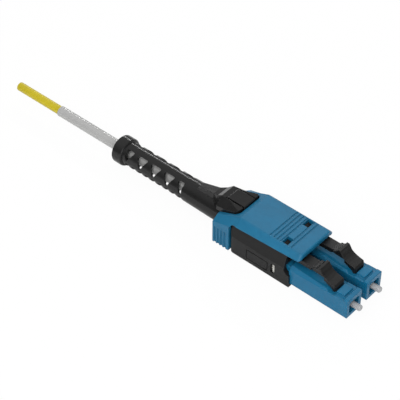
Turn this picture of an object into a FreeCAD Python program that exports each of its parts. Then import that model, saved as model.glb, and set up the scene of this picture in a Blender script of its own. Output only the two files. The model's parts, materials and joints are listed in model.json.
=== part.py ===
import FreeCAD, Part
import math
import os
import Sketcher

# A push-pull duplex LC fibre connector with a single cable and a lattice boot.
# +X points out of the ferrules, +Y to the second plug, +Z up through the latches.
# The origin is midway between the two ferrule axes, in the plane of the plug noses.

V = FreeCAD.Vector
doc = FreeCAD.newDocument("DuplexConnector")
dims = doc.addObject("Spreadsheet::Sheet", "dims")

sizes = [
    # plugs: two 4.5 mm square noses at the standard pitch
    ("pitch", 6.25),
    ("plugSide", 4.5),
    ("plugReach", 13.9),
    ("plugLength", 20.0),
    ("plugRearWidth", 3.5),
    ("plugNeckHeight", 3.8),
    ("plugNeckEnd", 15.4),
    ("plugRearHeight", 4.3),
    ("plugGap", 0.06),
    ("plugLipHeight", 0.22),
    ("plugLipLength", 0.9),
    ("plugEdge", 0.3),
    ("lipCorner", 0.3),
    ("blockEdge", 0.15),
    ("shoulderRear", 0.8),
    ("shoulderNose", 0.12),
    ("mouthSide", 2.9),
    ("mouthDepth", 3.0),
    ("mouthCorner", 0.5),
    ("seatBore", 2.0),
    ("seatX", 4.0),
    ("cavityBore", 2.9),
    ("blockFront", 1.42),
    ("blockRear", 3.25),
    ("blockWidth", 2.7),
    ("blockHeight", 0.45),
    # ferrules and what floats with them
    ("ferruleDia", 1.249),
    ("ferruleTip", 1.7),
    ("ferruleLength", 6.6),
    ("ferruleRound", 0.3),
    ("flangeNose", 1.8),
    ("flangeFlats", 2.35),
    ("flangeThick", 1.3),
    ("flangeTail", 1.6),
    ("flangeTailLength", 3.2),
    ("seatGap", 0.05),
    ("springOuter", 2.4),
    ("springWire", 0.3),
    ("springRear", 14.2),
    ("springTurns", 7),
    ("stopOuter", 2.7),
    ("stopFlange", 3.3),
    ("stopFlangeThick", 0.9),
    # latches
    ("latchPivotX", 3.85),
    ("latchPivotZ", 2.35),
    ("latchRoot", 0.42),
    ("latchWidth", 2.9),
    ("latchTailWidth", 2.3),
    ("latchTipZ", 3.05),
    ("latchRampX", 5.95),
    ("latchRampZ", 3.95),
    ("latchPeakX", 7.55),
    ("latchPeakZ", 5.5),
    ("latchPeakLength", 0.55),
    ("latchTailZ", 4.55),
    ("latchTailThick", 0.75),
    ("latchEnd", 17.3),
    ("humpTop", 5.5),
    ("rootGap", 0.05),
    # frame: lower tray and lid. What lies behind frameWideRear, the end of the wide part, and
    # the catch over it are placed from there: frameRear, coverRear, bootRear and so on are
    # the way back from it, and coverBend, notchFront, padFront, hookRear and tongueFront the
    # way forward. wingFront is the way back from the notch. The fibres' bend, bendLength
    # long where bendRoom lies between it and the rear wall, stretches with that room.
    ("frameHalf", 5.9),
    ("frameFloorZ", -2.95),
    ("frameFront", 13.6),
    ("frameFrontUpper", 14.9),
    ("frameWideRear", 28.5),
    ("frameRear", 3.5),
    ("frameRearHalf", 4.9),
    ("partingZ", 1.55),
    ("frameWall", 0.6),
    ("frameFloor", 0.65),
    ("frameCorner", 0.9),
    ("lidTopZ", 4.5),
    ("lidFrontX", 18.2),
    ("lidShelfZ", 2.6),
    ("lidRearZ", 2.7),
    ("tailPocketHalf", 4.65),
    ("slotFront", 17.05),
    ("slotLength", 1.0),
    ("slotBottom", -1.5),
    ("slotTop", 0.85),
    ("panelFront", 18.7),
    ("panelLength", 5.5),
    ("panelBottom", -1.85),
    ("panelTop", 0.7),
    ("panelLine", 0.28),
    ("panelDepth", 0.16),
    # retainer clip behind the plugs
    ("clipThick", 0.8),
    ("clipArm", 0.3),
    ("clipGap", 0.1),
    # crimp post, ring and cable
    ("postFlange", 4.4),
    ("postFlangeThick", 0.9),
    ("postFlangeX", 1.1),
    ("postOuter", 2.9),
    ("postBore", 2.1),
    ("postEnd", 12.1),
    ("ringOuter", 3.5),
    ("ringFront", 6.9),
    ("ringStep", 12.5),
    ("ringRear", 15.1),
    ("ringRearOuter", 2.9),
    ("jacketDia", 2.0),
    ("jacketFront", 12.5),
    ("sleeveOuter", 2.36),
    ("sleeveBore", 2.02),
    ("sleeveRear", 81.6),
    ("cableEnd", 94.5),
    # boot
    ("bootFront", 3.9),
    ("bootRear", 35.1),
    ("collarRadius", 3.13),
    ("collarLength", 2.7),
    ("latticeRadius", 2.6),
    ("latticeBore", 2.1),
    ("latticeEnd", 15.9),
    ("tubeRadiusRear", 2.67),
    ("tubeRadiusFront", 2.82),
    ("tubeBore", 1.95),
    ("collarBore", 1.36),
    ("windowPitch", 3.73),
    ("windowLast", 16.2),
    ("windowCount", 5),
    ("windowTilt", 52.0),
    ("windowHalfTop", 1.5),
    ("windowUp", 1.1),
    ("windowRearLimit", 31.7),
    ("windowRound", 0.28),
    ("ventWidth", 1.35),
    ("saddleRear", 12.8),
    ("saddleRise", 8.3),
    ("saddleRiseZ", 4.3),
    ("wingRear", 5.5),
    ("wingRearZ", 4.3),
    ("wingFront", 0.3),
    ("wingFrontZ", 6.15),
    ("wingHalf", 3.5),
    ("ridgeHalf", 1.1),
    ("wingThick", 1.0),
    ("padHalf", 1.6),
    ("padRear", 4.5),
    ("padTopZ", 6.2),
    ("padSlot", 0.3),
    ("tongueFront", 2.8),
    ("tongueTopZ", 5.4),
    ("tongueBottomZ", 4.25),
    ("notchGap", 0.12),
    ("neckWallGap", 0.1),
    ("flangeNoseLength", 0.7),
    ("ferruleFit", 0.01),
    ("flangeBore", 1.0),
    ("fibreHole", 1.0),
    ("fibreDia", 0.25),
    ("fibreSplit", 0.4),
    ("fibreFront", 7.2),
    ("bendFront", 22.2),
    ("bendLength", 9.3),
    ("bendRoom", 5.7),
    ("humpFront", 15.6),
    ("humpRear", 16.85),
    ("humpWidth", 1.7),
    ("earDepth", 0.55),
    ("earUnderZ", 4.05),
    ("latchEdge", 0.15),
    ("frameEdge", 0.35),
    ("lidCurve", 1.05),
    ("lidShoulderHalf", 5.0),
    ("lidRearHalf", 4.0),
    ("lidRoofZ", 3.5),
    ("channelZ", 4.05),
    ("channelHalf", 1.8),
    ("railFrontGap", 0.4),
    ("armGap", 0.04),
    ("hookGap", 0.08),
    ("hookSink", 0.28),
    ("hookLength", 0.5),
    ("clipHalfHeight", 1.45),
    ("ringGap", 0.02),
    ("jacketBore", 1.3),
    ("windowSlant", 27.0),
    ("windowTip", 0.35),
    ("collarStart", 32.1),
    ("collarRim", 0.5),
    ("ventRise", 0.4),
    ("flareX", 6.8),
    ("flareHalf", 1.5),
    ("flareZ", 5.0),
    ("wingSweep", 3.0),
    ("wingMiddleZ", 4.75),
    ("saddleTopZ", 6.1),
    ("slotFloorZ", 4.9),
    ("hookRear", 1.3),
    ("padFront", 0.15),
    ("notchFront", 0.3),
    ("legCurve", 1.3),
    ("coverEdge", 0.4),
    ("notchCorner", 1.2),
    ("coverCorner", 0.6),
    ("flankDrop", 1.82),
    ("runnerGap", 0.06),
    # sliding cover
    ("coverFront", 11.75),
    ("coverBend", 1.5),
    ("coverRear", 4.4),
    ("deckZ", 6.15),
    ("deckHalf", 4.35),
    ("rearRimZ", 3.6),
    ("rearSideZ", 2.63),
    ("coverFootZ", -2.85),
    ("coverWall", 0.85),
    ("deckWall", 1.1),
    ("legGap", 0.25),
    ("skirtRearZ", 4.45),
    ("skirtFrontZ", 4.93),
    ("hatchLength", 1.3),
    ("hatchWidth", 1.9),
    ("hatchRear", 16.95),
    ("deckRibPitch", 0.85),
    ("deckRibFirst", 19.75),
    ("deckRibWidth", 0.34),
    ("deckRibDepth", 0.16),
    ("gripPitch", 0.85),
    ("gripFirst", 1.2),
    ("gripWidth", 0.5),
    ("gripDepth", 0.2),
    ("gripTopZ", 1.5),
    ("lugY", 2.7),
    ("lugWidth", 1.2),
    ("lugFront", 23.2),
    ("lugLength", 0.9),
    ("lugZ", 4.12),
    ("lugGap", 0.12),
    ("railHalf", 0.5),
    ("railDepth", 0.35),
    ("slideTravel", 2.2),
    ("slideGap", 0.1),
]
for row, (alias, size) in enumerate(sizes, start=1):
    dims.set(f"A{row}", alias)
    dims.set(f"B{row}", str(size))
    dims.setAlias(f"B{row}", alias)
doc.recompute()


def value(formula):
    """The number that a formula of the sheet's sizes gives."""
    return float(dims.evalExpression(str(formula)))


def newBody(label, y="0"):
    body = doc.addObject("PartDesign::Body", label)
    body.Label = label
    body.setExpression("Placement.Base.y", y)
    return body


def newSketch(body, role, offset="0", tilt=None):
    """A sketch on one of the body's own origin planes, set off along its normal."""
    sketch = body.newObject("Sketcher::SketchObject", "Outline")
    plane = [item for item in body.Origin.OriginFeatures if item.Role == role][0]
    sketch.AttachmentSupport = [(plane, "")]
    sketch.MapMode = "FlatFace"
    if tilt is not None:
        sketch.AttachmentOffset = FreeCAD.Placement(V(0, 0, 0), FreeCAD.Rotation(V(1, 0, 0), value(tilt)))
        sketch.setExpression("AttachmentOffset.Rotation.Angle", tilt)
    sketch.setExpression("AttachmentOffset.Base.z", offset)
    return sketch


def pin(sketch, geometry, point, place):
    """Hold one point of the sketch at a pair of formulas."""
    for kind, formula in zip(("DistanceX", "DistanceY"), place):
        index = sketch.addConstraint(Sketcher.Constraint(kind, -1, 1, geometry, point, value(formula)))
        sketch.setExpression(f"Constraints[{index}]", str(formula))


def outline(sketch, corners):
    """A closed outline through corners. A corner (x, y, cx, cy, turn) starts an arc about (cx, cy)."""
    count = len(corners)
    places = [V(value(corner[0]), value(corner[1]), 0) for corner in corners]
    first = sketch.GeometryCount
    starts = []
    for index, corner in enumerate(corners):
        here = places[index]
        there = places[(index + 1) % count]
        if len(corner) == 2:
            sketch.addGeometry(Part.LineSegment(here, there), False)
            starts.append(1)
            continue
        centre = V(value(corner[2]), value(corner[3]), 0)
        radius = (here - centre).Length
        low = math.atan2(here.y - centre.y, here.x - centre.x)
        high = math.atan2(there.y - centre.y, there.x - centre.x)
        if corner[4] == "cw":
            low, high = high, low
        if high < low:
            high += 2 * math.pi
        circle = Part.Circle(centre, V(0, 0, 1), radius)
        sketch.addGeometry(Part.ArcOfCircle(circle, low, high), False)
        starts.append(1 if corner[4] == "ccw" else 2)
    for index in range(count):
        after = (index + 1) % count
        finish = 3 - starts[index]
        sketch.addConstraint(Sketcher.Constraint(
            "Coincident", first + index, finish, first + after, starts[after]))
    for index, corner in enumerate(corners):
        pin(sketch, first + index, starts[index], corner[:2])
        if len(corner) == 5:
            chord = places[(index + 1) % count] - places[index]
            across = abs(chord.x) < abs(chord.y)
            kind = "DistanceX" if across else "DistanceY"
            formula = corner[2] if across else corner[3]
            rule = Sketcher.Constraint(kind, -1, 1, first + index, 3, value(formula))
            bound = sketch.addConstraint(rule)
            sketch.setExpression(f"Constraints[{bound}]", str(formula))


def rectangle(sketch, left, bottom, right, top):
    outline(sketch, [(left, bottom), (right, bottom), (right, top), (left, top)])


def circle(sketch, x, y, radius):
    centre = V(value(x), value(y), 0)
    index = sketch.addGeometry(Part.Circle(centre, V(0, 0, 1), value(radius)), False)
    pin(sketch, index, 3, (x, y))
    bound = sketch.addConstraint(Sketcher.Constraint("Radius", index, value(radius)))
    sketch.setExpression(f"Constraints[{bound}]", str(radius))


def feature(body, kind, name, sketch, length, midplane=False, backwards=False):
    item = body.newObject(kind, name)
    item.Profile = sketch
    item.setExpression("Length", length)
    item.Midplane = midplane
    item.Reversed = backwards
    return item


def pad(body, name, sketch, length, midplane=False, backwards=False):
    return feature(body, "PartDesign::Pad", name, sketch, length, midplane, backwards)


def pocket(body, name, sketch, length, midplane=False, backwards=False):
    return feature(body, "PartDesign::Pocket", name, sketch, length, midplane, backwards)


def turned(body, kind, name, sketch):
    """Revolve a sketch of the XZ plane about the X axis."""
    item = body.newObject(kind, name)
    item.Profile = sketch
    item.ReferenceAxis = (sketch, ["H_Axis"])
    item.Angle = 360
    return item


def edgesWhere(shape, test):
    """The names of the straight edges whose middle and direction pass the test."""
    names = []
    for index, edge in enumerate(shape.Edges, start=1):
        if edge.Curve.TypeId != "Part::GeomLine" or edge.Length < 0.02:
            continue
        start, end = edge.Vertexes[0].Point, edge.Vertexes[-1].Point
        if test((start + end) * 0.5, (end - start).normalize()):
            names.append(f"Edge{index}")
    return names


def soften(body, kind, name, base, amount, test):
    """A fillet or chamfer on the edges of the last feature that pass the test."""
    doc.recompute()
    names = edgesWhere(base.Shape, test)
    item = body.newObject(kind, name)
    item.Base = (base, names)
    size = "Radius" if kind == "PartDesign::Fillet" else "Size"
    item.setExpression(size, amount)
    return item


sides = {"near": -1, "far": 1}
near = 0.01


def turnedPart(label, corners, y="0"):
    """A turned piece: its corners are (station, radius)."""
    body = newBody(label, y)
    sketch = newSketch(body, "XZ_Plane")
    outline(sketch, corners)
    body.Tip = turned(body, "PartDesign::Revolution", "Turned", sketch)
    return body


def block(body, name, plane, offset, corners, length, midplane=False, backwards=False):
    sketch = newSketch(body, plane, offset)
    outline(sketch, corners)
    return pad(body, name, sketch, length, midplane, backwards)


def cut(body, name, plane, offset, corners, length, midplane=False, backwards=False):
    sketch = newSketch(body, plane, offset)
    outline(sketch, corners)
    return pocket(body, name, sketch, length, midplane, backwards)


def box(left, bottom, right, top):
    return [(left, bottom), (right, bottom), (right, top), (left, top)]


def plugHousing(side, sign):
    """One blue nose: a mouth for the adapter's sleeve in front and a cavity for the spring behind."""
    body = newBody(f"plug_housing_{side}", f"{sign} * dims.pitch / 2")
    half = "dims.plugSide / 2"
    lip = "dims.plugSide / 2 + dims.plugLipHeight"
    shelf = "dims.plugSide / 2 - 0.15"
    seat = "dims.latchPivotZ - dims.latchRoot - dims.rootGap"
    block(body, "Nose", "XZ_Plane", "0", [
        ("-dims.plugLength", "-dims.plugRearHeight / 2"),
        ("-dims.plugNeckEnd", "-dims.plugRearHeight / 2"),
        ("-dims.plugNeckEnd", "-dims.plugNeckHeight / 2"),
        ("-dims.plugReach", "-dims.plugNeckHeight / 2"),
        ("-dims.plugReach", f"-{half}"),
        ("0", f"-{half}"),
        ("0", lip),
        ("-dims.plugLipLength", lip),
        ("-dims.plugLipLength - 0.25", shelf),
        ("-dims.blockRear", shelf),
        ("-dims.blockRear", seat),
        ("-dims.latchPivotX - dims.latchRoot - 0.45", seat),
        ("-dims.latchPivotX - dims.latchRoot - 0.95", half),
        ("-dims.plugReach", half),
        ("-dims.plugReach", "dims.plugNeckHeight / 2"),
        ("-dims.plugNeckEnd", "dims.plugNeckHeight / 2"),
        ("-dims.plugNeckEnd", "dims.plugRearHeight / 2"),
        ("-dims.plugLength", "dims.plugRearHeight / 2"),
    ], "dims.plugSide", midplane=True)
    for edge in (-1, 1):
        solid = cut(body, "RearSide", "XY_Plane", f"-{half} - 1", box(
            "-dims.plugLength - 1", f"{edge} * dims.plugRearWidth / 2",
            "-dims.plugReach", f"{edge} * (dims.plugSide / 2 + 1)"), "dims.plugSide + 3", backwards=True)
    for edge in (-1, 1):
        solid = shoulder(body, edge)
    solid = soften(body, "PartDesign::Fillet", "LongEdges", solid, "dims.plugEdge",
                   lambda middle, way: abs(way.x) > 0.99 and middle.x > -value("dims.plugReach")
                   and middle.z < -value(half) + near and abs(middle.y) > value(half) - near)
    solid = soften(body, "PartDesign::Fillet", "LipCorners", solid, "dims.lipCorner",
                   lambda middle, way: abs(way.x) > 0.99 and middle.x > -value("dims.plugLipLength")
                   and middle.z > value(lip) - near)
    solid = block(body, "HingeBlock", "XZ_Plane", "0", box(
        "-dims.blockRear", "dims.plugSide / 2 - 0.5",
        "-dims.blockFront", "dims.plugSide / 2 + dims.blockHeight - 0.2"), "dims.blockWidth", midplane=True)
    solid = soften(body, "PartDesign::Fillet", "BlockEdges", solid, "dims.blockEdge",
                   lambda middle, way: middle.z > value("dims.plugSide / 2 + dims.blockHeight - 0.2") - near
                   and -value("dims.blockRear") + near < middle.x < -value("dims.blockFront") + near)
    mouth = "dims.mouthSide / 2"
    solid = cut(body, "Mouth", "YZ_Plane", "-dims.mouthDepth",
                box(f"-{mouth}", f"-{mouth}", mouth, mouth), "dims.mouthDepth + 1", backwards=True)
    solid = soften(body, "PartDesign::Fillet", "MouthCorners", solid, "dims.mouthCorner",
                   lambda middle, way: abs(way.x) > 0.99 and middle.x > -value("dims.mouthDepth")
                   and abs(abs(middle.y) - value(mouth)) < near and abs(abs(middle.z) - value(mouth)) < near)
    sketch = newSketch(body, "XZ_Plane")
    outline(sketch, [
        ("-dims.plugLength - 1", "0"),
        ("-dims.mouthDepth + 0.5", "0"),
        ("-dims.mouthDepth + 0.5", "dims.seatBore / 2"),
        ("-dims.seatX", "dims.seatBore / 2"),
        ("-dims.seatX", "dims.cavityBore / 2"),
        ("-dims.plugLength - 1", "dims.cavityBore / 2"),
    ])
    body.Tip = turned(body, "PartDesign::Groove", "Cavity", sketch)
    return body


def shoulder(body, edge):
    """The long chamfer on a plug's top edge, wide at the frame and fading towards the nose."""
    corners = []
    ends = (("-dims.plugReach - 0.02", "dims.shoulderRear"), ("-dims.plugLipLength", "dims.shoulderNose"))
    side = f"{edge} * dims.plugSide / 2"
    for station, width in ends:
        sketch = newSketch(body, "YZ_Plane", station)
        outline(sketch, [
            (f"{side} + {edge} * 0.05", "dims.plugSide / 2 + 0.05"),
            (f"{side} - {edge} * {width}", "dims.plugSide / 2 + 0.05"),
            (f"{side} - {edge} * {width}", "dims.plugSide / 2"),
            (side, f"dims.plugSide / 2 - {width}"),
            (f"{side} + {edge} * 0.05", f"dims.plugSide / 2 - {width}"),
        ])
        corners.append(sketch)
    return loft(body, "PartDesign::SubtractiveLoft", "Shoulder", corners)


def loft(body, kind, name, sketches):
    item = body.newObject(kind, name)
    item.Profile = sketches[0]
    item.Sections = sketches[1:]
    item.Ruled = True
    return item


def ferrule(side, sign):
    rim = "dims.ferruleDia / 2 - dims.ferruleRound"
    return turnedPart(f"ferrule_{side}", [
        ("dims.ferruleTip - dims.ferruleLength", "0"),
        ("dims.ferruleTip", "0"),
        ("dims.ferruleTip", rim, "dims.ferruleTip - dims.ferruleRound", rim, "ccw"),
        ("dims.ferruleTip - dims.ferruleRound", "dims.ferruleDia / 2"),
        ("dims.ferruleTip - dims.ferruleLength", "dims.ferruleDia / 2"),
    ], f"{sign} * dims.pitch / 2")


def flange(side, sign):
    """The metal flange that holds a ferrule: a nose in the plug's seat, a hexagon and a tail."""
    body = newBody(f"flange_{side}", f"{sign} * dims.pitch / 2")
    front = "-dims.seatX - dims.seatGap"
    rear = "-dims.seatX - dims.seatGap - dims.flangeThick"
    corner = "dims.flangeFlats / 2 / cos(30)"
    turns = range(6)
    block(body, "Hexagon", "YZ_Plane", front,
          [(f"{corner} * cos({60 * turn})", f"{corner} * sin({60 * turn})") for turn in turns],
          "dims.flangeThick", backwards=True)
    sketch = newSketch(body, "XZ_Plane")
    outline(sketch, [
        (f"{rear} - dims.flangeTailLength", "0"),
        (f"{front} + dims.flangeNoseLength", "0"),
        (f"{front} + dims.flangeNoseLength", "dims.flangeNose / 2"),
        (rear, "dims.flangeNose / 2"),
        (rear, "dims.flangeTail / 2"),
        (f"{rear} - dims.flangeTailLength", "dims.flangeTail / 2"),
    ])
    turned(body, "PartDesign::Revolution", "NoseAndTail", sketch)
    sketch = newSketch(body, "XZ_Plane")
    bottom = "dims.ferruleTip - dims.ferruleLength"
    outline(sketch, [
        (f"{rear} - dims.flangeTailLength - 1", "0"),
        ("0", "0"),
        ("0", "dims.ferruleDia / 2 + dims.ferruleFit"),
        (bottom, "dims.ferruleDia / 2 + dims.ferruleFit"),
        (bottom, "dims.flangeBore / 2"),
        (f"{rear} - dims.flangeTailLength - 1", "dims.flangeBore / 2"),
    ])
    body.Tip = turned(body, "PartDesign::Groove", "Bore", sketch)
    return body


def spring(side, sign):
    body = newBody(f"spring_{side}", f"{sign} * dims.pitch / 2")
    sketch = newSketch(body, "XZ_Plane")
    start = "-dims.springRear + dims.springWire / 2"
    finish = "-dims.seatX - dims.seatGap - dims.flangeThick - dims.springWire / 2"
    circle(sketch, start, "dims.springOuter / 2 - dims.springWire / 2", "dims.springWire / 2")
    item = body.newObject("PartDesign::AdditiveHelix", "Coil")
    item.Profile = sketch
    item.ReferenceAxis = (sketch, ["H_Axis"])
    item.Mode = 0
    item.setExpression("Height", f"({finish}) - ({start})")
    item.setExpression("Pitch", f"(({finish}) - ({start})) / dims.springTurns")
    body.Tip = item
    return body


def rearStop(side, sign):
    return turnedPart(f"rear_stop_{side}", [
        ("-dims.plugLength - dims.stopFlangeThick", "dims.fibreHole / 2"),
        ("-dims.springRear", "dims.fibreHole / 2"),
        ("-dims.springRear", "dims.stopOuter / 2"),
        ("-dims.plugLength", "dims.stopOuter / 2"),
        ("-dims.plugLength", "dims.stopFlange / 2"),
        ("-dims.plugLength - dims.stopFlangeThick", "dims.stopFlange / 2"),
    ], f"{sign} * dims.pitch / 2")


def fibre(side, sign):
    """The coated fibre: straight in the cable, an S bend in the frame, straight into the flange."""
    away = f"{sign} * dims.fibreSplit / 2"
    room = "(dims.frameWideRear - dims.frameWall - dims.bendFront)"
    bend = f"(dims.bendLength * {room} / dims.bendRoom)"
    turn = value(f"2 * atan((dims.pitch / 2 - dims.fibreSplit / 2) / {bend})")
    radius = value(bend) / 2 / math.sin(math.radians(turn))
    body = newBody(f"fibre_{side}")
    route = newSketch(body, "XY_Plane")
    rear, front = value("-dims.cableEnd"), value("-dims.fibreFront")
    bendEnd = value("-dims.bendFront")
    bendStart = value(f"-dims.bendFront - {bend}")
    low, high = value(away), value(f"{sign} * dims.pitch / 2")
    middle = V((bendStart + bendEnd) / 2, (low + high) / 2, 0)
    drop = radius * math.cos(math.radians(turn / 2))
    side1 = V(bendStart + radius * math.sin(math.radians(turn / 2)),
              low + sign * (radius - drop), 0)
    side2 = V(bendEnd - (side1.x - bendStart), high - sign * (radius - drop), 0)
    route.addGeometry(Part.LineSegment(V(rear, low, 0), V(bendStart, low, 0)), False)
    route.addGeometry(Part.Arc(V(bendStart, low, 0), side1, middle), False)
    route.addGeometry(Part.Arc(middle, side2, V(bendEnd, high, 0)), False)
    route.addGeometry(Part.LineSegment(V(bendEnd, high, 0), V(front, high, 0)), False)
    ring = newSketch(body, "YZ_Plane", "-dims.cableEnd")
    circle(ring, away, "0", "dims.fibreDia / 2")
    pipe = body.newObject("PartDesign::AdditivePipe", "Coated")
    pipe.Profile = ring
    pipe.Spine = route
    body.Tip = pipe
    return body


def latch(side, sign):
    """The bending latch: a root bar on the plug, two ears at the ridge and a tail with a hump."""
    body = newBody(f"latch_{side}", f"{sign} * dims.pitch / 2")
    pivot = ("-dims.latchPivotX", "dims.latchPivotZ")
    block(body, "Arm", "XZ_Plane", "0", [
        ("-dims.latchPivotX - dims.latchRoot", "dims.latchPivotZ", *pivot, "ccw"),
        ("-dims.latchPivotX + dims.latchRoot", "dims.latchPivotZ"),
        ("-dims.latchPivotX + dims.latchRoot - 0.1", "dims.latchTipZ"),
        ("-dims.latchPivotX", "dims.latchTipZ + 0.32"),
        ("-dims.latchPivotX - 1.35", "dims.latchTipZ + 0.62"),
        ("-dims.latchRampX", "dims.latchRampZ"),
        ("-dims.latchRampX - 0.6", "dims.latchRampZ + 0.36"),
        ("-dims.latchPeakX + 0.68", "dims.latchRampZ + 0.8"),
        ("-dims.latchPeakX + 0.36", "dims.latchPeakZ - 0.22"),
        ("-dims.latchPeakX + 0.18", "dims.latchPeakZ"),
        ("-dims.latchPeakX - dims.latchPeakLength + 0.18", "dims.latchPeakZ"),
        ("-dims.latchPeakX - dims.latchPeakLength - 0.12", "dims.latchPeakZ - 0.55"),
        ("-dims.latchPeakX - dims.latchPeakLength - 0.45", "dims.latchTailZ + 0.16"),
        ("-dims.latchPeakX - 2", "dims.latchTailZ"),
        ("-dims.humpFront", "dims.latchTailZ"),
        ("-dims.humpFront - 0.1", "dims.humpTop - 0.55"),
        ("-dims.humpRear + 0.1", "dims.humpTop"),
        ("-dims.humpRear", "dims.humpTop"),
        ("-dims.humpRear - 0.05", "dims.latchTailZ + 0.15"),
        ("-dims.latchEnd", "dims.latchTailZ"),
        ("-dims.latchEnd", "dims.latchTailZ - dims.latchTailThick"),
        ("-dims.frameFrontUpper + 0.2", "dims.latchTailZ - dims.latchTailThick"),
        ("-dims.frameFrontUpper + 1.2", "dims.latchTailZ - dims.latchTailThick - 0.25"),
        ("-dims.latchPeakX - 1.75", "dims.latchTailZ - dims.latchTailThick - 0.25"),
        ("-dims.latchPeakX - 0.4", "dims.latchTailZ - dims.latchTailThick - 0.2"),
        ("-dims.latchPeakX + 0.6", "dims.latchRampZ - 0.45"),
        ("-dims.latchRampX - 0.1", "dims.latchRampZ - 0.72"),
        ("-dims.latchPivotX - 0.75", "dims.latchPivotZ + 0.22"),
    ], "dims.latchWidth", midplane=True)
    for edge in (-1, 1):
        cut(body, "TailSide", "XY_Plane", "dims.latchPivotZ", box(
            "-dims.latchEnd - 1", f"{edge} * dims.latchTailWidth / 2",
            "-dims.latchPeakX - dims.latchPeakLength - 1", f"{edge} * (dims.latchWidth / 2 + 1)"),
            "5", backwards=True)
        cut(body, "HumpSide", "XY_Plane", "dims.latchTailZ + 0.02", box(
            "-dims.latchEnd - 1", f"{edge} * dims.humpWidth / 2",
            "-dims.humpFront + 0.5", f"{edge} * (dims.latchWidth / 2 + 1)"), "3", backwards=True)
        cut(body, "UnderEar", "XZ_Plane", f"{-edge} * (dims.latchWidth / 2 - dims.earDepth)", [
            ("-dims.latchPeakX - dims.latchPeakLength - 1.5", "1"),
            ("-dims.latchRampX - 0.3", "1"),
            ("-dims.latchRampX - 0.3", "dims.earUnderZ"),
            ("-dims.latchPeakX - dims.latchPeakLength - 0.3", "dims.earUnderZ + 0.1"),
            ("-dims.latchPeakX - dims.latchPeakLength - 1.5", "dims.latchTailZ - 0.2"),
        ], "2", backwards=edge < 0)
    for edge in (-1, 1):
        side = f"{edge} * (dims.latchWidth / 2 + 0.1)"
        solid = cut(body, "TipCorner", "XY_Plane", "0", [
            ("-dims.latchPivotX + dims.latchRoot + 0.1", side),
            ("-dims.latchPivotX + dims.latchRoot - 0.45", side),
            ("-dims.latchPivotX + dims.latchRoot + 0.1", f"{edge} * (dims.latchWidth / 2 - 0.45)"),
        ], "5", backwards=True)
    solid = soften(body, "PartDesign::Fillet", "RidgeEdge", solid, "dims.latchEdge",
                   lambda middle, way: abs(way.y) > 0.99
                   and middle.z > value("dims.latchTipZ") - near
                   and middle.x > -value("dims.latchRampX") + 0.5)
    body.Tip = solid
    return body


def roundCorners(body, station, half, radius, out):
    """Round the two upright corners at a station, cut from above and below. out is -1 at a rear end."""
    inner = f"({station} - ({out}) * {radius})"
    for sign in (-1, 1):
        straight = f"{sign} * ({half} - {radius})"
        beside = f"{sign} * ({half} + 1)"
        turn = "ccw" if sign * value(out) > 0 else "cw"
        last = cut(body, "RoundCorner", "XY_Plane", "-4", [
            (station, straight, inner, straight, turn),
            (inner, f"{sign} * {half}"),
            (inner, beside),
            (f"{station} + ({out})", beside),
            (f"{station} + ({out})", straight),
        ], "12", backwards=True)
    return last


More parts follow.
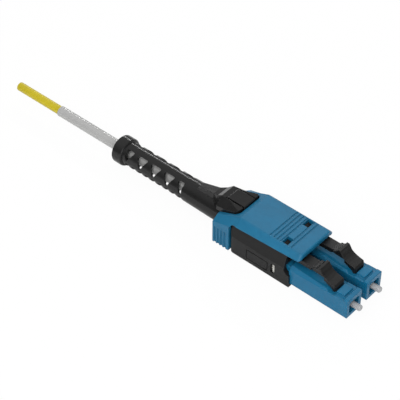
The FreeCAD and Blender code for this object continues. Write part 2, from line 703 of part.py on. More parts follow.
def frameBase():
    """The lower housing, a tray that the plugs, the clip and the crimp post lie in."""
    body = newBody("frame_base")
    sweep = "dims.frameFrontUpper - dims.frameFront"
    solid = block(body, "Tray", "XZ_Plane", "0", [
        ("-dims.frameWideRear", "dims.frameFloorZ"),
        ("-dims.frameFront", "dims.frameFloorZ"),
        ("-dims.frameFront", f"dims.partingZ - 0.1 - ({sweep})",
         "-dims.frameFront", "dims.partingZ - 0.1", "cw"),
        ("-dims.frameFrontUpper", "dims.partingZ - 0.1"),
        ("-dims.frameFrontUpper", "dims.partingZ"),
        ("-dims.frameWideRear", "dims.partingZ"),
    ], "2 * dims.frameHalf", midplane=True)
    solid = soften(body, "PartDesign::Fillet", "RearEdges", solid, "dims.frameCorner",
                   lambda middle, way: abs(way.z) > 0.99 and middle.x < -value("dims.frameWideRear") + near)
    solid = soften(body, "PartDesign::Fillet", "FloorEdges", solid, "dims.frameEdge",
                   lambda middle, way: abs(way.x) > 0.99 and middle.z < value("dims.frameFloorZ") + near)
    block(body, "RearBlock", "XZ_Plane", "0", box(
        "-dims.frameWideRear - dims.frameRear", "dims.frameFloorZ",
        "-dims.frameWideRear + 0.3", "dims.partingZ"),
        "2 * dims.frameRearHalf", midplane=True)
    half = "(dims.frameHalf - dims.frameWall)"
    cut(body, "Inside", "XY_Plane", "dims.frameFloorZ + dims.frameFloor", box(
        "-dims.frameWideRear + dims.frameWall", f"-{half}", "-dims.plugNeckEnd + dims.neckWallGap", half),
        "6", backwards=True)
    neck = "(dims.plugRearWidth / 2 + dims.plugGap)"
    for sign in (-1, 1):
        axis = f"{sign} * dims.pitch / 2"
        cut(body, "NeckOpening", "YZ_Plane", "-dims.frameFront + 0.1", box(
            f"{axis} - {neck}", "-dims.plugNeckHeight / 2 - dims.plugGap", f"{axis} + {neck}", "3"), "3")
    shoulderHalf = "(dims.pitch / 2 + dims.plugSide / 2 + dims.plugGap)"
    cut(body, "ShoulderSeat", "YZ_Plane", "-dims.plugReach - dims.plugGap", box(
        f"-{shoulderHalf}", "-dims.plugSide / 2 - dims.plugGap", shoulderHalf, "3"), "2", backwards=True)
    postSeat(body)
    cut(body, "SideSlots", "XZ_Plane", "0", box(
        "-dims.slotFront - dims.slotLength", "dims.slotBottom", "-dims.slotFront", "dims.slotTop"),
        "2 * dims.frameHalf + 1", midplane=True)
    for sign in (-1, 1):
        sketch = newSketch(body, "XZ_Plane", f"{sign} * (dims.frameHalf - dims.panelDepth)")
        rectangle(sketch, "-dims.panelFront - dims.panelLength", "dims.panelBottom", "-dims.panelFront",
                  "dims.panelTop")
        rectangle(sketch, "-dims.panelFront - dims.panelLength + dims.panelLine",
                  "dims.panelBottom + dims.panelLine", "-dims.panelFront - dims.panelLine",
                  "dims.panelTop - dims.panelLine")
        pocket(body, "PanelLine", sketch, "dims.panelDepth + 1", backwards=sign > 0)
    for sign in (-1, 1):
        depth = f"{sign} * (dims.frameRearHalf - dims.railDepth - dims.slideGap)"
        groove = "(dims.railHalf + dims.slideGap)"
        solid = cut(body, "RailGroove", "YZ_Plane", "-dims.frameWideRear - dims.frameRear - 1", box(
            depth, f"-{groove}", f"{sign} * (dims.frameRearHalf + 1)", groove),
            "1 + dims.frameRear - dims.railFrontGap", backwards=True)
    body.Tip = solid
    return body


def postSeat(body):
    """The round seat for the crimp post and its flange, half in the tray and half in the lid."""
    sketch = newSketch(body, "XZ_Plane")
    shaft = "dims.postOuter / 2 + dims.plugGap"
    rim = "dims.postFlange / 2 + dims.plugGap"
    outline(sketch, [
        ("-dims.frameWideRear - dims.frameRear - 1", "0"),
        ("-dims.frameWideRear + dims.frameWall + 0.5", "0"),
        ("-dims.frameWideRear + dims.frameWall + 0.5", shaft),
        ("-dims.frameWideRear - dims.postFlangeX + dims.plugGap", shaft),
        ("-dims.frameWideRear - dims.postFlangeX + dims.plugGap", rim),
        ("-dims.frameWideRear - dims.postFlangeX - dims.postFlangeThick - dims.plugGap", rim),
        ("-dims.frameWideRear - dims.postFlangeX - dims.postFlangeThick - dims.plugGap", shaft),
        ("-dims.frameWideRear - dims.frameRear - 1", shaft),
    ])
    return turned(body, "PartDesign::Groove", "PostSeat", sketch)


def frameLid():
    """The upper housing with slanted shoulders, low under the latch tails and behind for the boot."""
    body = newBody("frame_lid")
    curve = "dims.lidCurve"
    block(body, "Shell", "XZ_Plane", "0", [
        ("-dims.frameFrontUpper", "dims.partingZ"),
        ("-dims.frameFrontUpper", "dims.lidTopZ"),
        (f"-dims.frameWideRear + {curve} + 0.5", "dims.lidTopZ"),
        (f"-dims.frameWideRear + {curve}", "dims.lidTopZ - 0.25",
         f"-dims.frameWideRear + {curve}", f"dims.lidTopZ - 0.25 - {curve}", "ccw"),
        ("-dims.frameWideRear", f"dims.lidTopZ - 0.25 - {curve}"),
        ("-dims.frameWideRear", "dims.partingZ"),
    ], "2 * dims.frameHalf", midplane=True)
    for sign in (-1, 1):
        cut(body, "SlantedShoulder", "YZ_Plane", "-dims.frameFrontUpper + 1", [
            (f"{sign} * dims.frameHalf", "dims.partingZ"),
            (f"{sign} * dims.lidShoulderHalf", "dims.lidTopZ - 0.1"),
            (f"{sign} * (dims.lidShoulderHalf - 0.4)", "dims.lidTopZ"),
            (f"{sign} * (dims.lidShoulderHalf - 0.4)", "dims.lidTopZ + 1"),
            (f"{sign} * (dims.frameHalf + 1)", "dims.lidTopZ + 1"),
            (f"{sign} * (dims.frameHalf + 1)", "dims.partingZ"),
        ], "20")
    roundCorners(body, "-dims.frameWideRear", "dims.frameHalf", "dims.frameCorner", "-1")
    block(body, "RearBlock", "XZ_Plane", "0", box(
        "-dims.frameWideRear - dims.frameRear", "dims.partingZ",
        "-dims.frameWideRear + 0.3", "dims.lidRearZ"),
        "2 * dims.lidRearHalf", midplane=True)
    low = "(dims.frameHalf - dims.frameWall - 0.1)"
    cut(body, "LowerInside", "XY_Plane", "dims.partingZ - 1", box(
        "-dims.frameWideRear + dims.frameWall", f"-{low}", "-dims.plugNeckEnd + dims.neckWallGap", low),
        "1 + dims.plugRearHeight / 2 + dims.plugGap - dims.partingZ", backwards=True)
    high = "(dims.tailPocketHalf - 0.45)"
    cut(body, "UpperInside", "XY_Plane", "dims.partingZ", box(
        "-dims.frameWideRear + 1.3", f"-{high}", "-dims.lidFrontX - dims.frameWall", high),
        "dims.lidRoofZ - dims.partingZ", backwards=True)
    cut(body, "TailPocket", "XY_Plane", "dims.lidShelfZ", box(
        "-dims.lidFrontX", "-dims.tailPocketHalf", "-dims.frameFrontUpper + 1", "dims.tailPocketHalf"),
        "4", backwards=True)
    neck = "(dims.plugRearWidth / 2 + dims.plugGap)"
    for sign in (-1, 1):
        axis = f"{sign} * dims.pitch / 2"
        cut(body, "NeckOpening", "YZ_Plane", "-dims.frameFrontUpper + 1", box(
            f"{axis} - {neck}", "0", f"{axis} + {neck}", "dims.plugNeckHeight / 2 + dims.plugGap"), "2")
    cut(body, "TongueChannel", "XY_Plane", "dims.channelZ", box(
        "-dims.frameWideRear - 1", "-dims.channelHalf",
        "-dims.frameWideRear + dims.tongueFront + 0.25", "dims.channelHalf"),
        "2", backwards=True)
    for sign in (-1, 1):
        axis = f"{sign} * dims.lugY"
        half = "(dims.lugWidth / 2 + dims.lugGap)"
        cut(body, "LugSlot", "XY_Plane", "dims.lidRoofZ - 0.5", box(
            "-dims.lugFront - dims.lugLength - dims.slideTravel - dims.lugGap", f"{axis} - {half}",
            "-dims.lugFront + dims.lugGap", f"{axis} + {half}"), "3", backwards=True)
    body.Tip = postSeat(body)
    return body


def plugRetainer():
    """The clip behind the plugs: a plate with a hole for each fibre and two hooked arms."""
    body = newBody("plug_retainer")
    rear = "dims.plugLength + dims.stopFlangeThick + dims.clipGap"
    outer = "(dims.frameHalf - dims.frameWall - dims.armGap)"
    block(body, "Plate", "XZ_Plane", "0", box(
        f"-({rear}) - dims.clipThick", "-dims.clipHalfHeight", f"-({rear})", "dims.clipHalfHeight"),
        f"2 * {outer}", midplane=True)
    for sign in (-1, 1):
        inner = f"{sign} * ({outer} - dims.clipArm)"
        block(body, "Arm", "XY_Plane", "dims.slotBottom + dims.hookGap", [
            (f"-({rear}) - 0.2", inner),
            ("-dims.slotFront - dims.hookGap", inner),
            ("-dims.slotFront - dims.hookGap", f"{sign} * (dims.frameHalf - dims.hookSink)"),
            ("-dims.slotFront - dims.hookGap - dims.hookLength",
             f"{sign} * (dims.frameHalf - dims.hookSink)"),
            ("-dims.slotFront - dims.hookGap - dims.hookLength", f"{sign} * {outer}"),
            (f"-({rear}) - 0.2", f"{sign} * {outer}"),
        ], "dims.slotTop - dims.slotBottom - 2 * dims.hookGap", backwards=False)
    for sign in (-1, 1):
        sketch = newSketch(body, "YZ_Plane", f"-({rear}) + 1")
        circle(sketch, f"{sign} * dims.pitch / 2", "0", "dims.fibreHole / 2")
        solid = pocket(body, "FibreHole", sketch, "dims.clipThick + 2")
    body.Tip = solid
    return body


def crimpPost():
    return turnedPart("crimp_post", [
        ("-dims.frameWideRear - dims.postEnd", "dims.postBore / 2"),
        ("-dims.frameWideRear - dims.postFlangeX", "dims.postBore / 2"),
        ("-dims.frameWideRear - dims.postFlangeX", "dims.postFlange / 2"),
        ("-dims.frameWideRear - dims.postFlangeX - dims.postFlangeThick", "dims.postFlange / 2"),
        ("-dims.frameWideRear - dims.postFlangeX - dims.postFlangeThick", "dims.postOuter / 2"),
        ("-dims.frameWideRear - dims.postEnd", "dims.postOuter / 2"),
    ])


def crimpRing():
    post = "dims.postOuter / 2 + dims.ringGap"
    sleeve = "dims.sleeveOuter / 2 + dims.ringGap"
    return turnedPart("crimp_ring", [
        ("-dims.frameWideRear - dims.ringRear", sleeve),
        ("-dims.frameWideRear - dims.ringStep - 0.3", sleeve),
        ("-dims.frameWideRear - dims.ringStep", post),
        ("-dims.frameWideRear - dims.ringFront", post),
        ("-dims.frameWideRear - dims.ringFront", "dims.ringOuter / 2"),
        ("-dims.frameWideRear - dims.ringStep", "dims.ringOuter / 2"),
        ("-dims.frameWideRear - dims.ringStep - 0.4", "dims.ringRearOuter / 2"),
        ("-dims.frameWideRear - dims.ringRear", "dims.ringRearOuter / 2"),
    ])


def tube(label, rear, front, bore, outer):
    return turnedPart(label, [
        (f"-{rear}", f"{bore} / 2"),
        (f"-{front}", f"{bore} / 2"),
        (f"-{front}", f"{outer} / 2"),
        (f"-{rear}", f"{outer} / 2"),
    ])


def windowOutlines(sketch, sign):
    """The rounded triangles of one side, their wide edge at the spine and their tip below."""
    slant = "dims.windowSlant"
    top = "(0 - dims.windowUp)"
    turn = "(dims.windowRound * tan(45 + dims.windowSlant / 2))"
    tip = f"({top} + (dims.windowHalfTop * cos({slant}) - dims.windowTip) / sin({slant}))"
    for index in range(int(value("dims.windowCount"))):
        middle = f"(0 - dims.frameWideRear - dims.windowLast - {index} * dims.windowPitch)"
        corners = []
        for edge in (1, -1):
            corners.append([
                (f"{middle} + {edge} * (dims.windowHalfTop - {turn})", top),
                (f"{middle} + {edge} * (dims.windowHalfTop - {turn} * sin({slant}))",
                 f"{top} + {turn} * cos({slant})"),
                (f"{middle} + {edge} * dims.windowTip * cos({slant})",
                 f"{tip} + dims.windowTip * sin({slant})"),
                (f"{middle} + {edge} * (dims.windowHalfTop - {turn})", f"{top} + dims.windowRound"),
            ])
        right, left = corners
        path = [
            (*right[0], *right[3], "ccw"),
            right[1],
            (*right[2], middle, tip, "ccw"),
            left[2],
            (*left[1], *left[3], "ccw"),
            left[0],
        ]
        flipped = [mirrored(corner, sign) for corner in path]
        outline(sketch, flipped)


def mirrored(corner, sign):
    """The corner on the other side of the sketch's X axis, when sign is -1."""
    if sign > 0:
        return corner
    turned = (corner[0], f"0 - ({corner[1]})")
    if len(corner) == 2:
        return turned
    return (*turned, corner[2], f"0 - ({corner[3]})", "cw")


def boot():
    """The boot, one moulding: a saddle with the catch, a tube, a lattice that bends, and a collar."""
    body = newBody("boot")
    sketch = newSketch(body, "XZ_Plane")
    outline(sketch, [
        ("-dims.frameWideRear - dims.collarStart", "dims.latticeBore"),
        ("-dims.frameWideRear - dims.latticeEnd", "dims.latticeBore"),
        ("-dims.frameWideRear - dims.latticeEnd", "dims.latticeRadius"),
        ("-dims.frameWideRear - dims.collarStart", "dims.latticeRadius"),
    ])
    turned(body, "PartDesign::Revolution", "LatticeTube", sketch)
    for sign in (-1, 1):
        sketch = newSketch(body, "XY_Plane", "0", f"0 - {sign} * dims.windowTilt")
        windowOutlines(sketch, sign)
        pocket(body, "Windows", sketch, "dims.latticeRadius + 1", backwards=True)
    sketch = newSketch(body, "XZ_Plane")
    vent = "(dims.ventWidth / 2)"
    crown = f"(0 - dims.ventRise - {vent})"
    for index in range(int(value("dims.windowCount")) * 2 - 1):
        middle = f"(0 - dims.frameWideRear - dims.windowLast - {index} * dims.windowPitch / 2)"
        outline(sketch, [
            (f"{middle} - {vent}", "-dims.latticeRadius - 1"),
            (f"{middle} + {vent}", "-dims.latticeRadius - 1"),
            (f"{middle} + {vent}", crown, middle, crown, "ccw"),
            (f"{middle} - {vent}", crown),
        ])
    pocket(body, "Vents", sketch, "2 * dims.latticeRadius + 1", midplane=True)
    sketch = newSketch(body, "XZ_Plane")
    rim = "dims.collarRim"
    outline(sketch, [
        ("-dims.frameWideRear - dims.bootRear", "dims.collarBore"),
        ("-dims.frameWideRear - dims.collarStart + 0.25", "dims.collarBore"),
        ("-dims.frameWideRear - dims.collarStart + 0.6", "dims.latticeBore"),
        ("-dims.frameWideRear - dims.windowRearLimit", "dims.latticeBore"),
        ("-dims.frameWideRear - dims.windowRearLimit", "dims.latticeRadius"),
        ("-dims.frameWideRear - dims.bootRear + dims.collarLength", "dims.latticeRadius"),
        ("-dims.frameWideRear - dims.bootRear + dims.collarLength", f"dims.collarRadius - {rim}",
         f"-dims.frameWideRear - dims.bootRear + dims.collarLength - {rim}", f"dims.collarRadius - {rim}",
         "ccw"),
        (f"-dims.frameWideRear - dims.bootRear + dims.collarLength - {rim}", "dims.collarRadius"),
        (f"-dims.frameWideRear - dims.bootRear + {rim}", "dims.collarRadius",
         f"-dims.frameWideRear - dims.bootRear + {rim}", f"dims.collarRadius - {rim}", "ccw"),
        ("-dims.frameWideRear - dims.bootRear", f"dims.collarRadius - {rim}"),
    ])
    turned(body, "PartDesign::Revolution", "Collar", sketch)
    sketch = newSketch(body, "XZ_Plane")
    outline(sketch, [
        ("-dims.frameWideRear - dims.latticeEnd", "dims.latticeBore"),
        ("-dims.frameWideRear - dims.latticeEnd + 0.4", "dims.tubeBore"),
        ("-dims.frameWideRear - dims.bootFront", "dims.tubeBore"),
        ("-dims.frameWideRear - dims.bootFront", "dims.tubeRadiusFront"),
        ("-dims.frameWideRear - dims.latticeEnd + 0.5", "dims.tubeRadiusRear"),
        ("-dims.frameWideRear - dims.latticeEnd", "dims.latticeRadius"),
    ])
    turned(body, "PartDesign::Revolution", "Tube", sketch)
    saddle(body)
    body.Tip = catch(body)
    return body


wingEdge = "-dims.frameWideRear + dims.notchFront - dims.wingFront"


def saddle(body):
    """The flare from a narrow plate on the tube to the wings beside the catch."""
    sunk = "dims.tubeRadiusRear - 0.35"
    stations = [
        ("-dims.frameWideRear - dims.saddleRear", "dims.ridgeHalf", "dims.tubeRadiusRear + 0.2",
         "dims.ridgeHalf + 0.05", sunk, f"{sunk} - 0.4"),
        ("-dims.frameWideRear - dims.saddleRise", "dims.ridgeHalf", "dims.saddleRiseZ",
         "dims.ridgeHalf + 0.05", sunk, f"{sunk} - 0.4"),
        ("-dims.frameWideRear - dims.flareX", "dims.flareHalf", "dims.flareZ",
         "dims.flareHalf + 0.9", "3.35", "2.4"),
        ("-dims.frameWideRear - dims.wingRear", "dims.padHalf + 0.2", "dims.saddleTopZ - 0.1",
         "dims.wingHalf - 0.1", "dims.wingRearZ", "dims.wingRearZ - dims.wingThick"),
        (f"{wingEdge} - dims.wingSweep", "dims.padHalf + 0.45", "dims.saddleTopZ",
         "dims.wingHalf", "dims.wingMiddleZ", "dims.wingMiddleZ - dims.wingThick"),
        (wingEdge, "dims.wingHalf - 0.25", "dims.saddleTopZ",
         "dims.wingHalf", "dims.wingFrontZ - 0.25", "dims.wingFrontZ - dims.wingThick"),
    ]
    sections = []
    for station, topHalf, topZ, half, sideZ, footZ in stations:
        sketch = newSketch(body, "YZ_Plane", station)
        outline(sketch, [
            (f"-({half})", footZ),
            (half, footZ),
            (half, sideZ),
            (topHalf, topZ),
            (f"-({topHalf})", topZ),
            (f"-({half})", sideZ),
        ])
        sections.append(sketch)
    loft(body, "PartDesign::AdditiveLoft", "Saddle", sections)
    roundCorners(body, wingEdge, "dims.wingHalf", "(dims.notchCorner - dims.notchGap)", "1")
    sketch = newSketch(body, "XZ_Plane")
    outline(sketch, [
        ("-dims.frameWideRear - dims.latticeEnd + 0.4", "0"),
        ("-dims.frameWideRear - dims.bootFront + 3", "0"),
        ("-dims.frameWideRear - dims.bootFront + 3", "dims.tubeBore"),
        ("-dims.frameWideRear - dims.latticeEnd + 0.4", "dims.tubeBore"),
    ])
    return turned(body, "PartDesign::Groove", "TubeBore", sketch)


def loftEnd(body):
    """The body's last feature, up to date."""
    doc.recompute()
    return body.Group[-1]


def catch(body):
    """The pad with a free slot on each side, and the hook that holds the cover."""
    for sign in (-1, 1):
        cut(body, "PadSlot", "XY_Plane", "dims.slotFloorZ", box(
            "-dims.frameWideRear - dims.padRear", f"{sign} * dims.padHalf",
            f"{wingEdge} + 1", f"{sign} * (dims.padHalf + dims.padSlot)"), "4", backwards=True)
    solid = block(body, "Pad", "XZ_Plane", "0", [
        ("-dims.frameWideRear - dims.padRear", "dims.saddleTopZ - 0.6"),
        ("-dims.frameWideRear + dims.padFront", "dims.tongueBottomZ"),
        ("-dims.frameWideRear + dims.tongueFront", "dims.tongueBottomZ"),
        ("-dims.frameWideRear + dims.tongueFront", "dims.tongueTopZ - 0.35"),
        ("-dims.frameWideRear + dims.tongueFront - 0.35", "dims.tongueTopZ"),
        ("-dims.frameWideRear + dims.hookRear", "dims.tongueTopZ"),
        ("-dims.frameWideRear + dims.hookRear", "dims.deckZ - dims.deckWall - dims.hookGap"),
        ("-dims.frameWideRear + dims.padFront", "dims.deckZ - dims.deckWall - dims.hookGap"),
        ("-dims.frameWideRear + dims.padFront", "dims.padTopZ - 0.15"),
        ("-dims.frameWideRear + dims.padFront - 0.2", "dims.padTopZ"),
        ("-dims.frameWideRear - dims.padRear + 0.5", "dims.padTopZ"),
        ("-dims.frameWideRear - dims.padRear", "dims.saddleTopZ - 0.2"),
    ], "2 * dims.padHalf", midplane=True)
    return solid


def topCover():
    """The sliding cover: a shell with slanted flanks over the frame and a leg on each side."""
    body = newBody("top_cover")
    solid = block(body, "Shell", "XZ_Plane", "0", [
        ("-dims.coverFront", "dims.skirtFrontZ"),
        ("-dims.coverFront", "dims.deckZ"),
        ("-dims.frameWideRear + dims.coverBend", "dims.deckZ"),
        ("-dims.frameWideRear - dims.coverRear", "dims.rearRimZ"),
        ("-dims.frameWideRear - dims.coverRear", "dims.coverFootZ"),
        ("-dims.frameWideRear - dims.legGap", "dims.coverFootZ"),
        ("-dims.frameWideRear - dims.legGap", "dims.skirtRearZ"),
    ], "2 * dims.frameHalf", midplane=True)
    solid = soften(body, "PartDesign::Fillet", "LegCurve", solid, "dims.legCurve",
                   lambda middle, way: abs(way.y) > 0.99 and middle.z > 1
                   and abs(middle.x + value("dims.frameWideRear + dims.legGap")) < near)
    flankZ = "(dims.deckZ - dims.flankDrop)"
    for sign in (-1, 1):
        cut(body, "Flank", "YZ_Plane", "-dims.coverFront + 1", [
            (f"{sign} * dims.deckHalf", "dims.deckZ"),
            (f"{sign} * dims.frameHalf", flankZ),
            (f"{sign} * (dims.frameHalf + 1)", flankZ),
            (f"{sign} * (dims.frameHalf + 1)", "dims.deckZ + 1"),
            (f"{sign} * dims.deckHalf", "dims.deckZ + 1"),
        ], "1 + dims.frameWideRear - dims.coverBend - dims.coverFront")
        sections = []
        ends = (("-dims.frameWideRear + dims.coverBend", "dims.deckZ", flankZ),
                ("-dims.frameWideRear - dims.coverRear", "dims.rearRimZ", "dims.rearSideZ"))
        for station, rim, side in ends:
            sketch = newSketch(body, "YZ_Plane", station)
            outline(sketch, [
                (f"{sign} * dims.deckHalf", rim),
                (f"{sign} * dims.frameHalf", side),
                (f"{sign} * (dims.frameHalf + 1)", side),
                (f"{sign} * (dims.frameHalf + 1)", "dims.deckZ + 1"),
                (f"{sign} * dims.deckHalf", "dims.deckZ + 1"),
            ])
            sections.append(sketch)
        loft(body, "PartDesign::SubtractiveLoft", "RearFlank", sections)
    deck = value("dims.deckZ")
    front = -value("dims.coverFront")
    solid = loftEnd(body)
    solid = soften(body, "PartDesign::Fillet", "FrontCorners", solid, "dims.coverCorner",
                   lambda middle, way: abs(middle.x - front) < near and abs(way.y) < 0.9)
    solid = soften(body, "PartDesign::Fillet", "DeckEdges", solid, "dims.coverEdge",
                   lambda middle, way: middle.z > value("dims.rearRimZ") - near
                   and (abs(abs(middle.y) - value("dims.deckHalf")) < near
                        or (abs(middle.x - front) < near and middle.z > deck - near)))
    ceiling = "(dims.deckZ - dims.deckWall)"
    innerHalf = "(dims.frameHalf - dims.coverWall)"
    innerFlank = f"({flankZ} - dims.coverWall * 0.55)"
    roofHalf = "(dims.deckHalf - 0.15)"
    ends = [
        ("-dims.frameWideRear + dims.notchFront", ceiling, innerFlank),
        ("-dims.frameWideRear - dims.coverRear - 0.1", "(dims.rearRimZ - dims.coverWall)",
         "(dims.rearSideZ - dims.coverWall * 0.8)"),
    ]
    sections = []
    for station, roof, flank in ends:
        sketch = newSketch(body, "YZ_Plane", station)
        outline(sketch, [
            (f"-{innerHalf}", "-5"), (innerHalf, "-5"), (innerHalf, flank), (roofHalf, roof),
            (f"-{roofHalf}", roof), (f"-{innerHalf}", flank),
        ])
        sections.append(sketch)
    loft(body, "PartDesign::SubtractiveLoft", "RearInside", sections)
    cut(body, "FrontInside", "YZ_Plane", "-dims.coverFront + 1", [
        (f"-{innerHalf}", "-5"), (innerHalf, "-5"), (innerHalf, innerFlank), (roofHalf, ceiling),
        (f"-{roofHalf}", ceiling), (f"-{innerHalf}", innerFlank),
    ], "1 + dims.frameWideRear - dims.notchFront - dims.coverFront")
    notch = "(dims.wingHalf + dims.notchGap)"
    solid = cut(body, "RoofNotch", "XY_Plane", "2", box(
        "-dims.frameWideRear - dims.coverRear - 1", f"-{notch}",
        "-dims.frameWideRear + dims.notchFront", notch), "6", backwards=True)
    soften(body, "PartDesign::Fillet", "NotchCorners", solid, "dims.notchCorner",
           lambda middle, way: abs(way.z) > 0.99
           and abs(middle.x + value("dims.frameWideRear - dims.notchFront")) < near
           and abs(abs(middle.y) - value(notch)) < near)
    hook = "(dims.padHalf + dims.notchGap)"
    cut(body, "HookPocket", "XY_Plane", f"{ceiling} - 0.5", box(
        "-dims.frameWideRear + dims.hookRear - dims.hookGap", f"-{hook}",
        "-dims.frameWideRear + dims.tongueFront + dims.notchGap", hook),
        f"0.5 + dims.tongueTopZ + dims.notchGap - {ceiling}", backwards=True)
    for sign in (-1, 1):
        axis = f"{sign} * dims.pitch / 2"
        cut(body, "LatchWindow", "XY_Plane", f"{ceiling} - 0.5", box(
            "-dims.hatchRear", f"{axis} - dims.hatchWidth / 2",
            "-dims.hatchRear + dims.hatchLength", f"{axis} + dims.hatchWidth / 2"), "3", backwards=True)
    sketch = newSketch(body, "XY_Plane", "dims.deckZ - dims.deckRibDepth")
    for index in range(7):
        middle = f"(0 - dims.deckRibFirst + {index} * dims.deckRibPitch)"
        if abs(value(middle) + value("dims.hatchRear - dims.hatchLength / 2")) > 0.3:
            rectangle(sketch, f"{middle} - dims.deckRibWidth / 2", "0.2 - dims.deckHalf",
                      f"{middle} + dims.deckRibWidth / 2", "dims.deckHalf - 0.2")
    pocket(body, "DeckGrooves", sketch, "1", backwards=True)
    for sign in (-1, 1):
        sketch = newSketch(body, "XZ_Plane", f"{sign} * (dims.frameHalf - dims.gripDepth)")
        for index in range(4):
            middle = f"(0 - dims.frameWideRear - dims.gripFirst - {index} * dims.gripPitch)"
            rectangle(sketch, f"{middle} - dims.gripWidth / 2", "dims.coverFootZ - 1",
                      f"{middle} + dims.gripWidth / 2", "dims.gripTopZ")
        pocket(body, "GripGrooves", sketch, "1", backwards=sign > 0)
    for sign in (-1, 1):
        axis = f"{sign} * dims.lugY"
        block(body, "StopLug", "XY_Plane", "dims.lugZ", box(
            "-dims.lugFront - dims.lugLength", f"{axis} - dims.lugWidth / 2",
            "-dims.lugFront", f"{axis} + dims.lugWidth / 2"), f"{ceiling} - dims.lugZ + 0.1")
        block(body, "Runner", "XY_Plane", "dims.lidTopZ + dims.runnerGap", box(
            "-dims.lugFront + 0.9", f"{axis} - 0.25",
            "-dims.lidFrontX - 0.6", f"{axis} + 0.25"), f"{ceiling} - dims.lidTopZ - dims.runnerGap + 0.1")
        rail = f"{sign} * (dims.frameRearHalf - dims.railDepth)"
        solid = block(body, "Rail", "YZ_Plane", "-dims.frameWideRear - dims.coverRear + 0.3", box(
            rail, "-dims.railHalf", f"{sign} * ({innerHalf} + 0.2)", "dims.railHalf"),
            "dims.coverRear - 0.3 - dims.railFrontGap - 0.2")
    body.Tip = solid
    return body


makers = [plugHousing, ferrule, flange, spring, rearStop, fibre, latch]
for side, sign in sides.items():
    for maker in makers:
        maker(side, sign)
frameBase()
frameLid()
plugRetainer()
crimpPost()
crimpRing()
jacketFront = "(dims.frameWideRear + dims.jacketFront)"
tube("sleeve_tube", "dims.sleeveRear", f"({jacketFront} + 0.35)", "dims.sleeveBore", "dims.sleeveOuter")
tube("cable_jacket", "dims.cableEnd", jacketFront, "dims.jacketBore", "dims.jacketDia")
boot()
topCover()
doc.recompute()

for item in doc.Objects:
    if "Invalid" in item.State or "Error" in item.State:
        raise ValueError(f"{item.Label} did not build")
os.makedirs("parts", exist_ok=True)
for item in doc.Objects:
    if item.TypeId == "PartDesign::Body":
        shape = item.Shape
        if shape.isNull() or not shape.isValid() or len(shape.Solids) != 1:
            raise ValueError(f"{item.Label} is not one valid solid")
        shape.exportStep(f"parts/{item.Label}.step")
        print(item.Label, round(shape.Volume, 2), "mm3")
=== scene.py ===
import json
import math
import random
import bpy
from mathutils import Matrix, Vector


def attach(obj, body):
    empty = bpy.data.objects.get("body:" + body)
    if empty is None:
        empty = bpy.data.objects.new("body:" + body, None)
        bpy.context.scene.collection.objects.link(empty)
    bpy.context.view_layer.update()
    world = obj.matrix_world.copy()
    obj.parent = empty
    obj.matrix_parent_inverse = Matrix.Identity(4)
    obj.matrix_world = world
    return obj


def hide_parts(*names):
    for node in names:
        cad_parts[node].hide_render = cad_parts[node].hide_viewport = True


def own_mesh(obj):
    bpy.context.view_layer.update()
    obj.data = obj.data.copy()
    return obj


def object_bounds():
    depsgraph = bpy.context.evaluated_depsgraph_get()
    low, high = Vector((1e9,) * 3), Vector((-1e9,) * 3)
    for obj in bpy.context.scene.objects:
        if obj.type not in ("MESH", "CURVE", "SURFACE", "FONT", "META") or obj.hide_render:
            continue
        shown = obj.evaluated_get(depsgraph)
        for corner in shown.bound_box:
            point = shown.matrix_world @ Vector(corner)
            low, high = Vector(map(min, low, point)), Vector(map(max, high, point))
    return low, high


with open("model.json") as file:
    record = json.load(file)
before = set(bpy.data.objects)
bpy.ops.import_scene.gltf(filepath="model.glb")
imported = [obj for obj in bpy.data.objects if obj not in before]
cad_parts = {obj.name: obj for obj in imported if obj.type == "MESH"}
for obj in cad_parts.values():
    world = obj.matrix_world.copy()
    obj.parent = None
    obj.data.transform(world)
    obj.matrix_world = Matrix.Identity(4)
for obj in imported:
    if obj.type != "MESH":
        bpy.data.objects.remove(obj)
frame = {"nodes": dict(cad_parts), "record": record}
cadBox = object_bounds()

mm = 0.001
scene = bpy.context.scene


def link(item):
    scene.collection.objects.link(item)
    return item


# Camera: a long lens from above the near side, with the noses to the right.
view = {
    "azimuth": 41.45,     # degrees round from looking along +Y
    "elevation": 43.69,   # degrees above the horizon
    "target": (-40.5 * mm, -0.99 * mm, 0.0),
    "distance": 282.5 * mm,
    "lens": 125.46,
}


def addCamera():
    turn, lift = math.radians(view["azimuth"]), math.radians(view["elevation"])
    away = Vector((math.sin(turn) * math.cos(lift), -math.cos(turn) * math.cos(lift), math.sin(lift)))
    data = bpy.data.cameras.new("camera")
    data.lens = view["lens"]
    data.sensor_width = 36.0
    data.clip_start = 0.01
    data.clip_end = 10.0
    camera = link(bpy.data.objects.new("camera", data))
    camera.location = Vector(view["target"]) + away * view["distance"]
    camera.rotation_euler = (-away).to_track_quat("-Z", "Y").to_euler()
    scene.camera = camera


addCamera()
print("camera set")


# Node helpers: a socket links, any other value is set on the input.
def feed(tree, item, entries):
    for key, entry in entries.items():
        if isinstance(entry, bpy.types.NodeSocket):
            tree.links.new(entry, item.inputs[key])
        else:
            item.inputs[key].default_value = entry


def put(tree, kind, inputs=None, **settings):
    item = tree.nodes.new(kind)
    for key, setting in settings.items():
        setattr(item, key, setting)
    feed(tree, item, inputs or {})
    return item


def calc(tree, operation, *values, clamp=False):
    item = put(tree, "ShaderNodeMath", dict(enumerate(values)), operation=operation, use_clamp=clamp)
    return item.outputs[0]


def distance(tree, first, second):
    squares = [calc(tree, "MULTIPLY", part, part) for part in (first, second)]
    return calc(tree, "SQRT", calc(tree, "ADD", *squares))


def noise(tree, where, scale, detail=3.0, roughness=0.55):
    item = put(tree, "ShaderNodeTexNoise", {
        "Vector": where, "Scale": scale, "Detail": detail, "Roughness": roughness})
    return item.outputs["Fac"]


